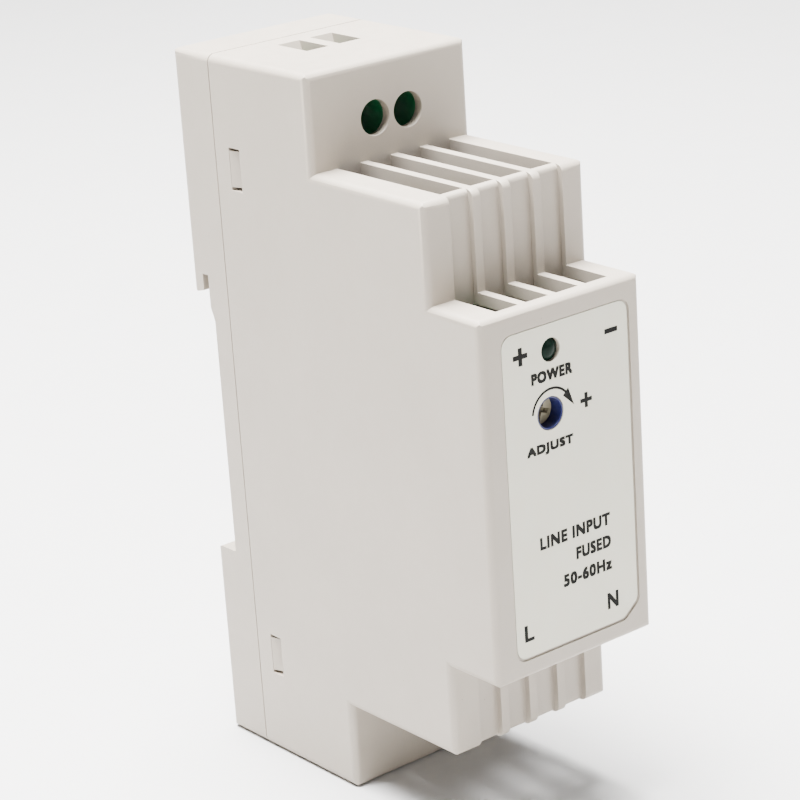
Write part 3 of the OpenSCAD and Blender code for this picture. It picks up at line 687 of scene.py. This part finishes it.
def add_turn_arrow(form, x, z, radius, stroke, start, end):
    """Adds a clockwise arc with an arrowhead at its end; millimetres, and angles in degrees."""
    steps = 28
    head_length, head_width, tip_inward = 2.3, 1.15, 0.35
    rear = ink_rear()
    front = rear - 2 * INK_REACH
    angles = [math.radians(start + (end - start) * k / steps) for k in range(steps + 1)]

    def arc(reach, along):
        return [((x + reach * math.cos(a)) * MM, (z + reach * math.sin(a)) * MM) for a in along]

    outline = arc(radius + stroke / 2, angles) + arc(radius - stroke / 2, reversed(angles))
    add_plate(form, outline, rear, front)
    a = angles[-1]
    out = Vector((math.cos(a), math.sin(a)))
    ahead = Vector((math.sin(a), -math.cos(a)))
    base = Vector((x, z)) + radius * out
    tip = base + ahead * head_length - out * tip_inward
    corners = [base + out * head_width / 2, base - out * head_width / 2, tip]
    add_plate(form, [(c.x * MM, c.y * MM) for c in corners], rear, front)


# Cap height of the three lines of ratings, their right edge, and each one's left edge and middle
RATING_HEIGHT = 1.6
RATING_RIGHT = 6.25
RATINGS = (("LINE INPUT", -5.0, -7.05), ("FUSED", 0.6, -9.9), ("50-60Hz", -1.6, -12.8))


def print_label():
    """Prints the label from the top down; places are millimetres from the middle of the case."""
    form = bmesh.new()
    add_plus(form, -6.6, 16.55, 2.2, 0.6)
    add_bar(form, 7.6, 16.2, 2.05, 0.6)
    add_word(form, "POWER", -5.1, 1.3, 12.6, 1.45)
    add_turn_arrow(form, -2.15, 8.6, 3.0, 0.3, 172, 42)
    add_plus(form, 3.25, 8.75, 1.85, 0.5)
    add_word(form, "ADJUST", -6.3, 1.0, 3.75, 1.5)
    for text, left, middle in RATINGS:
        add_word(form, text, left, RATING_RIGHT, middle - RATING_HEIGHT / 2, RATING_HEIGHT)
    add_word(form, "N", 5.3, 7.1, -18.7, 2.1)
    add_word(form, "L", -8.1, -6.6, -18.6, 2.1)
    add_piece("label_printing", form, "label_film", "ink")


# ---- Latch spring and windings ----


def helix(middle, axis, radius, start, length, turns, closed=0.0):
    """Points along a coil; closed is the share of it at each end that doesn't rise."""
    steps = 24
    turn = Vector((0, 0, 1)).rotation_difference(Vector(axis)).to_matrix()
    count = int(turns * steps)
    points = []
    for k in range(count + 1):
        t = k / count
        rise = t if not closed else min(max((t - closed) / (1 - 2 * closed), 0), 1)
        a = 2 * math.pi * turns * t
        spread = Vector((radius * math.cos(a), radius * math.sin(a), start + length * rise))
        points.append(Vector(middle) + turn @ spread)
    return points


def latch_spring():
    """A compression spring with closed ends, built at one length; it does not shorten as the latch
    slides.
    """
    low, high = (Vector(corner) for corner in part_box("latch_spring"))
    middle = (low + high) / 2
    wire = 0.2 * MM
    turns, closed = 7.5, 0.1
    form = bmesh.new()
    radius = (high.x - low.x) / 2 - wire
    length = high.z - low.z - 2 * wire
    centre = (middle.x, middle.y, 0)
    coil = helix(centre, (0, 0, 1), radius, low.z + wire, length, turns, closed)
    add_tube(form, coil, wire, 12)
    smooth(form)
    spring = add_piece("latch_spring_coil", form, "steel_zinc")
    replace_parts(spring, "latch_spring")
    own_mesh(spring)


def choke_windings():
    """Two windings on the ring core, each turn pressed around its rounded square section."""
    low, high = (Vector(corner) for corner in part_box("choke_core"))
    middle = (low + high) / 2
    wire = 0.3 * MM
    ring_width = 2.2 * MM
    outer = (high.x - low.x) / 2 + wire
    inner = outer - ring_width - 2 * wire
    half = (high.z - low.z) / 2 + wire
    mean, reach = (outer + inner) / 2, (outer - inner) / 2
    turns, steps, sweep = 10, 28, 128
    # Power of the superellipse that a turn follows; two would be an ellipse
    squareness = 4
    form = bmesh.new()
    for first in (26, 206):
        points = []
        for k in range(turns * steps + 1):
            around = math.radians(first + sweep * k / (turns * steps))
            a = 2 * math.pi * k / steps
            c, s = math.cos(a), math.sin(a)
            stretch = (abs(c) ** squareness + abs(s) ** squareness) ** (-1 / squareness)
            r = mean + reach * c * stretch
            z = half * s * stretch
            points.append(middle + Vector((r * math.cos(around), r * math.sin(around), z)))
        # Slightly thinner than the pitch allows, so that neighbouring turns stay apart
        add_tube(form, points, wire * 0.94, 8)
    smooth(form)
    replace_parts(add_piece("choke_wire", form, "copper_wire"), "choke_windings")


def inductor_winding():
    """Two layers of wire around an axis that runs front to back."""
    low, high = (Vector(corner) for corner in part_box("inductor_winding"))
    middle = (low + high) / 2
    wire = 0.24 * MM
    # Distances between neighbouring turns and between the layers, in radii of the wire
    pitch, layer_gap = 2.06, 1.8
    length = high.y - low.y - 2 * wire
    form = bmesh.new()
    for layer in range(2):
        radius = (high.x - low.x) / 2 - wire * (1 + layer_gap * layer)
        start = low.y + wire
        points = helix((middle.x, 0, middle.z), (0, 1, 0), radius, start, length, length / (pitch * wire))
        add_tube(form, points, wire, 8)
    smooth(form)
    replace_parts(add_piece("inductor_wire", form, "copper_wire"), "inductor_winding")


# ---- Capacitors ----

# Thickness of the shrink sleeve, and the size of the can's rolled edges
SLEEVE_SKIN = 0.15 * MM
CAN_LIP = 0.5 * MM
# How far the middle of the can's front face is set back
CAN_RECESS = 0.12 * MM
# Place of the rolled neck, as a part of the can's length
NECK_SHARE = 0.83
# Gap between sleeve and can, and how far the stripe stands out of the sleeve
SLEEVE_GAP = 0.02 * MM
STRIPE_SKIN = 0.015 * MM
# Edges of the stripe's facets around the can, in degrees
STRIPE_ANGLES = range(200, 240, 5)
# The cross on the vent: half the width of its lines, and how far they stand out of the face
SCORE_HALF_WIDTH = 0.14 * MM
SCORE_RISE = 0.02 * MM


def can_profile(bare, length):
    """Half the section of a rolled can of the given radius: recessed front, neck, plain rear."""
    lip, neck = CAN_LIP, length * NECK_SHARE
    return [
        (0, CAN_RECESS), (bare * 0.62, CAN_RECESS), (bare * 0.68, 0.02 * MM), (bare - lip, 0),
        (bare - 0.3 * lip, 0.12 * lip), (bare, 0.7 * lip), (bare, neck),
        (bare - 0.7 * lip, neck + lip), (bare - 0.7 * lip, neck + 1.4 * lip),
        (bare, neck + 2.4 * lip), (bare, length - 0.5 * lip), (bare - lip, length), (0, length),
    ]


def sleeve_profile(bare, radius, top, end, neck):
    """The closed section of the sleeve: its outside from the front to the rear, then its inside."""
    lip, inner = CAN_LIP, bare + SLEEVE_GAP
    return [
        (bare - 1.6 * lip, top - 0.02 * MM), (bare - 0.7 * lip, top - 0.06 * MM),
        (radius - 0.1 * lip, top + 0.4 * lip), (radius, top + lip),
        (radius, neck - 0.3 * lip), (radius - 0.5 * lip, neck + lip),
        (radius - 0.5 * lip, neck + 1.4 * lip), (radius, neck + 2.7 * lip), (radius, end),
        (inner, end), (inner, neck + 2.6 * lip),
        (radius - 0.62 * lip, neck + 1.4 * lip), (radius - 0.62 * lip, neck + lip),
        (inner, neck - 0.3 * lip), (inner, top + lip),
        (bare - 0.6 * lip, top + 0.08 * MM), (bare - 1.6 * lip, top + 0.03 * MM),
        (bare - 1.6 * lip, top - 0.02 * MM),
    ]


def add_stripe(form, x, z, radius, front, rear):
    """Adds the printed stripe as a row of thin facets on the sleeve."""
    arc = [math.radians(angle) for angle in STRIPE_ANGLES]
    for first, second in zip(arc, arc[1:]):
        corners = [Vector((x + r * math.cos(a), 0, z + r * math.sin(a)))
                   for r, a in ((radius, first), (radius, second),
                                (radius + STRIPE_SKIN, second), (radius + STRIPE_SKIN, first))]
        rings = [[form.verts.new(c + Vector((0, y, 0))) for c in corners] for y in (front, rear)]
        for k in range(4):
            n = (k + 1) % 4
            form.faces.new((rings[0][k], rings[0][n], rings[1][n], rings[1][k]))
        form.faces.new(rings[0])
        form.faces.new(list(reversed(rings[1])))
    bmesh.ops.remove_doubles(form, verts=form.verts, dist=JOIN_DISTANCE)
    inside = [f for f in form.faces if all(len(e.link_faces) > 2 for e in f.edges)]
    bmesh.ops.delete(form, geom=inside, context="FACES_ONLY")


def capacitors(node, sleeve_node):
    """One or two rolled cans with a scored vent, a shrink sleeve and its stripe."""
    low, high = (Vector(corner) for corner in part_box(sleeve_node))
    can_low, can_high = (Vector(corner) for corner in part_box(node))
    radius = (high.z - low.z) / 2
    span = high.x - low.x
    # A box that is wider than one can holds two, side by side
    centres = [low.x + radius] if span < 2.5 * radius else [low.x + radius, high.x - radius]
    bare = radius - SLEEVE_SKIN
    length = can_high.y - can_low.y
    neck = length * NECK_SHARE
    z = middle_of(node).z
    can, sleeve, stripe, vent = bmesh.new(), bmesh.new(), bmesh.new(), bmesh.new()
    for x in centres:
        base = (x, can_low.y, z)
        add_lathe(can, can_profile(bare, length), base, (0, 1, 0))
        section = sleeve_profile(bare, radius, low.y - can_low.y, high.y - can_low.y, neck)
        add_lathe(sleeve, section, base, (0, 1, 0))
        add_stripe(stripe, x, z, radius, low.y + 1.2 * CAN_LIP, can_low.y + neck - CAN_LIP)
        score, face_y = bare * 0.5, can_low.y + CAN_RECESS
        for wide, tall in ((score, SCORE_HALF_WIDTH), (SCORE_HALF_WIDTH, score)):
            add_box(vent, (x - wide, face_y - SCORE_RISE, z - tall),
                    (x + wide, face_y + SCORE_RISE, z + tall))
    bmesh.ops.remove_doubles(sleeve, verts=sleeve.verts, dist=JOIN_DISTANCE)
    for form in (can, sleeve):
        smooth(form)
    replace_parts(add_piece(node + "_can", can, "capacitor_aluminium"), node)
    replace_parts(add_piece(sleeve_node + "_film", sleeve, "capacitor_sleeve"), sleeve_node)
    add_piece(sleeve_node + "_stripe", stripe, "capacitor_sleeve", "sleeve_stripe")
    add_piece(node + "_vent_score", vent, "capacitor_aluminium")


# ---- Parts and joints on the boards ----

DOME_RADIUS = 0.8 * MM
# Radius and height of a fillet and of the clipped lead in its middle
SOLDER_PROFILE = (
    (0, 0), (DOME_RADIUS, 0), (DOME_RADIUS * 0.8, 0.16 * MM), (DOME_RADIUS * 0.48, 0.42 * MM),
    (DOME_RADIUS * 0.3, 0.75 * MM), (DOME_RADIUS * 0.27, 1.1 * MM), (0, 1.16 * MM),
)
# Least distance in millimetres, up the board, between the joints of a part
LEAD_PITCHES = {"transformer_bobbin": 5.08, "bridge_rectifier": 5.0, "film_capacitor": 6.8,
                "choke_core": 6.4, "input_capacitor": 5.0, "control_header": 5.08}


def solder_spots():
    """Where leads come through the main board, as (x, z)."""
    spots = []
    for node, pitch in LEAD_PITCHES.items():
        low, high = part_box(node)
        x, z = middle_of(node).x, middle_of(node).z
        reach = (high[2] - low[2]) / 2 - 0.9 * MM
        count = max(1, int(reach * 2 / (pitch * MM)))
        for k in range(count + 1):
            spots.append((x, z - reach + 2 * reach * k / count))
    # Each output capacitor has two leads, beside its middle
    low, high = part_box("output_capacitors")
    z = middle_of("output_capacitors").z
    for x in (low[0] + 3.9 * MM, high[0] - 3.9 * MM):
        spots += [(x - 1.25 * MM, z), (x + 1.25 * MM, z)]
    for node in ("switching_transistor", "output_diode"):
        x = middle_of(node).x
        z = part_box(node)[0][2] + 2.25 * MM
        spots += [(x + 2.54 * MM * k, z) for k in (-1, 0, 1)]
    # The contact strips are soldered at both ends, close to their edge nearest the middle
    for node in ("output_contacts", "input_contacts"):
        low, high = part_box(node)
        z = low[2] if low[2] > 0 else high[2]
        z += math.copysign(0.3 * MM, z)
        spots += [(low[0] + 1.3 * MM, z), (high[0] - 1.3 * MM, z)]
    return spots


def solder_joints():
    """Domed solder fillets with a clipped lead, on the rear of the main board."""
    low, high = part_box("main_pcb")
    form = bmesh.new()
    for x, z in solder_spots():
        x = min(max(x, low[0] + DOME_RADIUS), high[0] - DOME_RADIUS)
        add_lathe(form, SOLDER_PROFILE, (x, high[1], z), (0, 1, 0), steps=20)
    smooth(form)
    add_piece("solder_joints", form, "tinned_metal", "solder")


# Length and width on the board, height above it, and length of an end cap
CHIP_LENGTH, CHIP_WIDTH, CHIP_HEIGHT, CHIP_END = 2.0 * MM, 1.25 * MM, 0.55 * MM, 0.38 * MM
# A capacitor stands this much higher than a resistor
CHIP_CAPACITOR_RISE = 1.5
# Gap between body and board, and how far an end cap stands out past the body, up and sideways
CHIP_GAP = 0.04 * MM
END_CAP_RISE, END_CAP_WIDTH = 0.03 * MM, 0.02 * MM
CHIP_BREAK = 0.05
CHIP_ROWS, CHIP_COLUMNS = 8, 12
# Distances of the outer chips' middles from the edges of the board, along it and up it
MARGIN_Y, MARGIN_Z = 2.2 * MM, 2.0 * MM
# Free space around the larger parts
CLEARANCE = 0.8 * MM


def chip_parts():
    """Small resistors and ceramic capacitors in rows on the control board."""
    low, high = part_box("control_pcb")
    face_x = low[0]
    bodies, caps, ends = bmesh.new(), bmesh.new(), bmesh.new()
    keep_out = [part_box(n) for n in ("pwm_controller", "optocoupler", "control_header")]
    half_length, half_width = CHIP_LENGTH / 2, CHIP_WIDTH / 2
    reach_y, reach_z = CLEARANCE + half_length, CLEARANCE + half_width
    for row in range(CHIP_ROWS):
        for column in range(CHIP_COLUMNS):
            y = low[1] + MARGIN_Y + column * (high[1] - low[1] - 2 * MARGIN_Y) / (CHIP_COLUMNS - 1)
            z = low[2] + MARGIN_Z + row * (high[2] - low[2] - 2 * MARGIN_Z) / (CHIP_ROWS - 1)
            blocked = any(b[0][1] - reach_y < y < b[1][1] + reach_y
                          and b[0][2] - reach_z < z < b[1][2] + reach_z for b in keep_out)
            # About one place in four stays empty, and one in five holds a capacitor
            if blocked or (row * 5 + column * 3) % 4 == 1:
                continue
            form = caps if (row + 2 * column) % 5 == 0 else bodies
            tall = CHIP_HEIGHT * (CHIP_CAPACITOR_RISE if form is caps else 1.0)
            add_box(form, (face_x - tall, y - half_length + CHIP_END, z - half_width),
                    (face_x - CHIP_GAP, y + half_length - CHIP_END, z + half_width))
            for side in (-1, 1):
                a, b = sorted((y + side * half_length, y + side * (half_length - CHIP_END)))
                add_box(ends, (face_x - tall - END_CAP_RISE, a, z - half_width - END_CAP_WIDTH),
                        (face_x, b, z + half_width + END_CAP_WIDTH))
    for name, form, slot in (("chip_resistors", bodies, "black_epoxy"),
                             ("chip_capacitors", caps, "ceramic_white"),
                             ("chip_end_caps", ends, "tinned_metal")):
        soften(add_piece(name, form, slot), CHIP_BREAK)


add_camera()
add_studio().data.materials.append(moulded("paper", linear(180, 179, 178), 0.7, tone=0.01))
dress_nodes()
dress_legs()
print_label()
latch_spring()
choke_windings()
inductor_winding()
capacitors("input_capacitor", "input_capacitor_sleeve")
capacitors("output_capacitors", "output_capacitor_sleeves")
solder_joints()
chip_parts()
